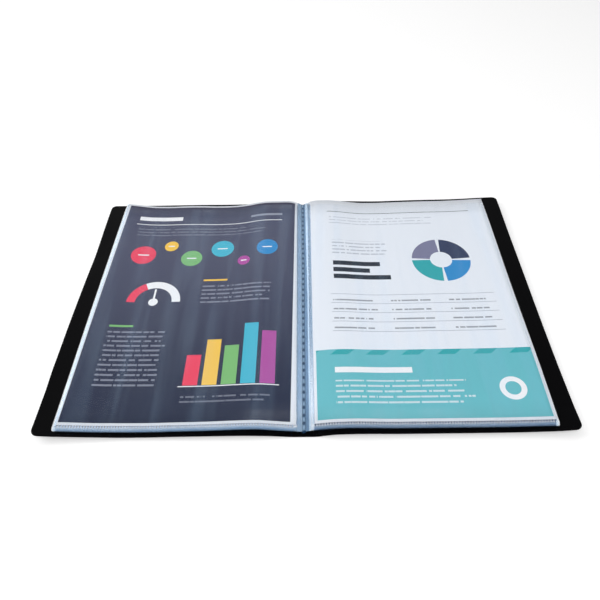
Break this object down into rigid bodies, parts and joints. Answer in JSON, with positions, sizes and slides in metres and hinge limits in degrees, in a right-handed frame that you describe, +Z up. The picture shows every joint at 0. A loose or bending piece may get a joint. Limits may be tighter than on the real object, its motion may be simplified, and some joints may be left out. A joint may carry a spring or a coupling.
{
  "type": "clear pocket display book",
  "caption": "Soft-cover display book lying open, with black creased plastic covers, clear welded film pockets and a printed sheet in the top pocket on each side.",
  "frame": {"origin": "on the table, under the middle of the spine panel", "axes": "+X towards the right-hand pages, +Y towards the head of the pages, +Z up"},
  "size_m": [0.4768, 0.3118, 0.0118],
  "materials": {
    "cover_sheet": "fine-grained black polypropylene",
    "clear_film": "clear glossy polypropylene film with a pale blue cast",
    "welded_film": "clear film welded in many layers",
    "dark_print": "coated paper printed dark blue-grey with a white margin",
    "light_print": "coated white paper with a turquoise band"
  },
  "bodies": {
    "spine": {"spine_panel": "cover_sheet", "weld_seam": "welded_film", "front_crease_web": "cover_sheet", "back_crease_web": "cover_sheet"},
    "front_cover": {"front_cover_panel": "cover_sheet"},
    "back_cover": {"back_cover_panel": "cover_sheet"},
    "left_margins": {"left_binding_margin": "welded_film"},
    "left_pocket_01": {"left_pocket_01_back_film": "clear_film", "left_pocket_01_front_film": "clear_film"},
    "left_pocket_02": {"left_pocket_02_back_film": "clear_film", "left_pocket_02_front_film": "clear_film"},
    "left_pocket_03": {"left_pocket_03_back_film": "clear_film", "left_pocket_03_front_film": "clear_film"},
    "left_pocket_04": {"left_pocket_04_back_film": "clear_film", "left_pocket_04_front_film": "clear_film"},
    "left_pocket_05": {"left_pocket_05_back_film": "clear_film", "left_pocket_05_front_film": "clear_film"},
    "left_pocket_06": {"left_pocket_06_back_film": "clear_film", "left_pocket_06_front_film": "clear_film"},
    "left_pocket_07": {"left_pocket_07_back_film": "clear_film", "left_pocket_07_front_film": "clear_film"},
    "left_pocket_08": {"left_pocket_08_back_film": "clear_film", "left_pocket_08_front_film": "clear_film"},
    "left_pocket_09": {"left_pocket_09_back_film": "clear_film", "left_pocket_09_front_film": "clear_film"},
    "left_pocket_10": {"left_pocket_10_back_film": "clear_film", "left_pocket_10_front_film": "clear_film", "left_insert": "dark_print"},
    "right_margins": {"right_binding_margin": "welded_film"},
    "right_pocket_01": {"right_pocket_01_back_film": "clear_film", "right_pocket_01_front_film": "clear_film"},
    "right_pocket_02": {"right_pocket_02_back_film": "clear_film", "right_pocket_02_front_film": "clear_film"},
    "right_pocket_03": {"right_pocket_03_back_film": "clear_film", "right_pocket_03_front_film": "clear_film"},
    "right_pocket_04": {"right_pocket_04_back_film": "clear_film", "right_pocket_04_front_film": "clear_film"},
    "right_pocket_05": {"right_pocket_05_back_film": "clear_film", "right_pocket_05_front_film": "clear_film"},
    "right_pocket_06": {"right_pocket_06_back_film": "clear_film", "right_pocket_06_front_film": "clear_film"},
    "right_pocket_07": {"right_pocket_07_back_film": "clear_film", "right_pocket_07_front_film": "clear_film"},
    "right_pocket_08": {"right_pocket_08_back_film": "clear_film", "right_pocket_08_front_film": "clear_film"},
    "right_pocket_09": {"right_pocket_09_back_film": "clear_film", "right_pocket_09_front_film": "clear_film"},
    "right_pocket_10": {"right_pocket_10_back_film": "clear_film", "right_pocket_10_front_film": "clear_film", "right_insert": "light_print"}
  },
  "joints": [
    {"name": "front_cover_fold", "type": "hinge", "parent": "spine", "child": "front_cover", "pos_m": [-0.011, 0, 0.0007], "axis": [0, 1, 0], "range_deg": [0, 90]},
    {"name": "back_cover_fold", "type": "hinge", "parent": "spine", "child": "back_cover", "pos_m": [0.011, 0, 0.0007], "axis": [0, -1, 0], "range_deg": [0, 90]},
    {"name": "left_margins_fold", "type": "hinge", "parent": "spine", "child": "left_margins", "pos_m": [0, 0, 0.012], "axis": [0, 1, 0], "range_deg": [0, 90]},
    {"name": "left_pocket_01_turn", "type": "hinge", "parent": "left_margins", "child": "left_pocket_01", "pos_m": [0, 0, 0.012], "axis": [0, -1, 0], "range_deg": [-180, 0]},
    {"name": "left_pocket_02_turn", "type": "hinge", "parent": "left_pocket_01", "child": "left_pocket_02", "pos_m": [0, 0, 0.012], "axis": [0, -1, 0], "range_deg": [-180, 0]},
    {"name": "left_pocket_03_turn", "type": "hinge", "parent": "left_pocket_02", "child": "left_pocket_03", "pos_m": [0, 0, 0.012], "axis": [0, -1, 0], "range_deg": [-180, 0]},
    {"name": "left_pocket_04_turn", "type": "hinge", "parent": "left_pocket_03", "child": "left_pocket_04", "pos_m": [0, 0, 0.012], "axis": [0, -1, 0], "range_deg": [-180, 0]},
    {"name": "left_pocket_05_turn", "type": "hinge", "parent": "left_pocket_04", "child": "left_pocket_05", "pos_m": [0, 0, 0.012], "axis": [0, -1, 0], "range_deg": [-180, 0]},
    {"name": "left_pocket_06_turn", "type": "hinge", "parent": "left_pocket_05", "child": "left_pocket_06", "pos_m": [0, 0, 0.012], "axis": [0, -1, 0], "range_deg": [-180, 0]},
    {"name": "left_pocket_07_turn", "type": "hinge", "parent": "left_pocket_06", "child": "left_pocket_07", "pos_m": [0, 0, 0.012], "axis": [0, -1, 0], "range_deg": [-180, 0]},
    {"name": "left_pocket_08_turn", "type": "hinge", "parent": "left_pocket_07", "child": "left_pocket_08", "pos_m": [0, 0, 0.012], "axis": [0, -1, 0], "range_deg": [-180, 0]},
    {"name": "left_pocket_09_turn", "type": "hinge", "parent": "left_pocket_08", "child": "left_pocket_09", "pos_m": [0, 0, 0.012], "axis": [0, -1, 0], "range_deg": [-180, 0]},
    {"name": "left_pocket_10_turn", "type": "hinge", "parent": "left_pocket_09", "child": "left_pocket_10", "pos_m": [0, 0, 0.012], "axis": [0, -1, 0], "range_deg": [-180, 0]},
    {"name": "right_margins_fold", "type": "hinge", "parent": "spine", "child": "right_margins", "pos_m": [0, 0, 0.012], "axis": [0, -1, 0], "range_deg": [0, 90]},
    {"name": "right_pocket_01_turn", "type": "hinge", "parent": "right_margins", "child": "right_pocket_01", "pos_m": [0, 0, 0.012], "axis": [0, 1, 0], "range_deg": [-180, 0]},
    {"name": "right_pocket_02_turn", "type": "hinge", "parent": "right_pocket_01", "child": "right_pocket_02", "pos_m": [0, 0, 0.012], "axis": [0, 1, 0], "range_deg": [-180, 0]},
    {"name": "right_pocket_03_turn", "type": "hinge", "parent": "right_pocket_02", "child": "right_pocket_03", "pos_m": [0, 0, 0.012], "axis": [0, 1, 0], "range_deg": [-180, 0]},
    {"name": "right_pocket_04_turn", "type": "hinge", "parent": "right_pocket_03", "child": "right_pocket_04", "pos_m": [0, 0, 0.012], "axis": [0, 1, 0], "range_deg": [-180, 0]},
    {"name": "right_pocket_05_turn", "type": "hinge", "parent": "right_pocket_04", "child": "right_pocket_05", "pos_m": [0, 0, 0.012], "axis": [0, 1, 0], "range_deg": [-180, 0]},
    {"name": "right_pocket_06_turn", "type": "hinge", "parent": "right_pocket_05", "child": "right_pocket_06", "pos_m": [0, 0, 0.012], "axis": [0, 1, 0], "range_deg": [-180, 0]},
    {"name": "right_pocket_07_turn", "type": "hinge", "parent": "right_pocket_06", "child": "right_pocket_07", "pos_m": [0, 0, 0.012], "axis": [0, 1, 0], "range_deg": [-180, 0]},
    {"name": "right_pocket_08_turn", "type": "hinge", "parent": "right_pocket_07", "child": "right_pocket_08", "pos_m": [0, 0, 0.012], "axis": [0, 1, 0], "range_deg": [-180, 0]},
    {"name": "right_pocket_09_turn", "type": "hinge", "parent": "right_pocket_08", "child": "right_pocket_09", "pos_m": [0, 0, 0.012], "axis": [0, 1, 0], "range_deg": [-180, 0]},
    {"name": "right_pocket_10_turn", "type": "hinge", "parent": "right_pocket_09", "child": "right_pocket_10", "pos_m": [0, 0, 0.012], "axis": [0, 1, 0], "range_deg": [-180, 0]}
  ],
  "couplings": [
    {"joint": "front_cover_fold", "follows": "left_margins_fold", "ratio": 1},
    {"joint": "back_cover_fold", "follows": "right_margins_fold", "ratio": 1}
  ]
}
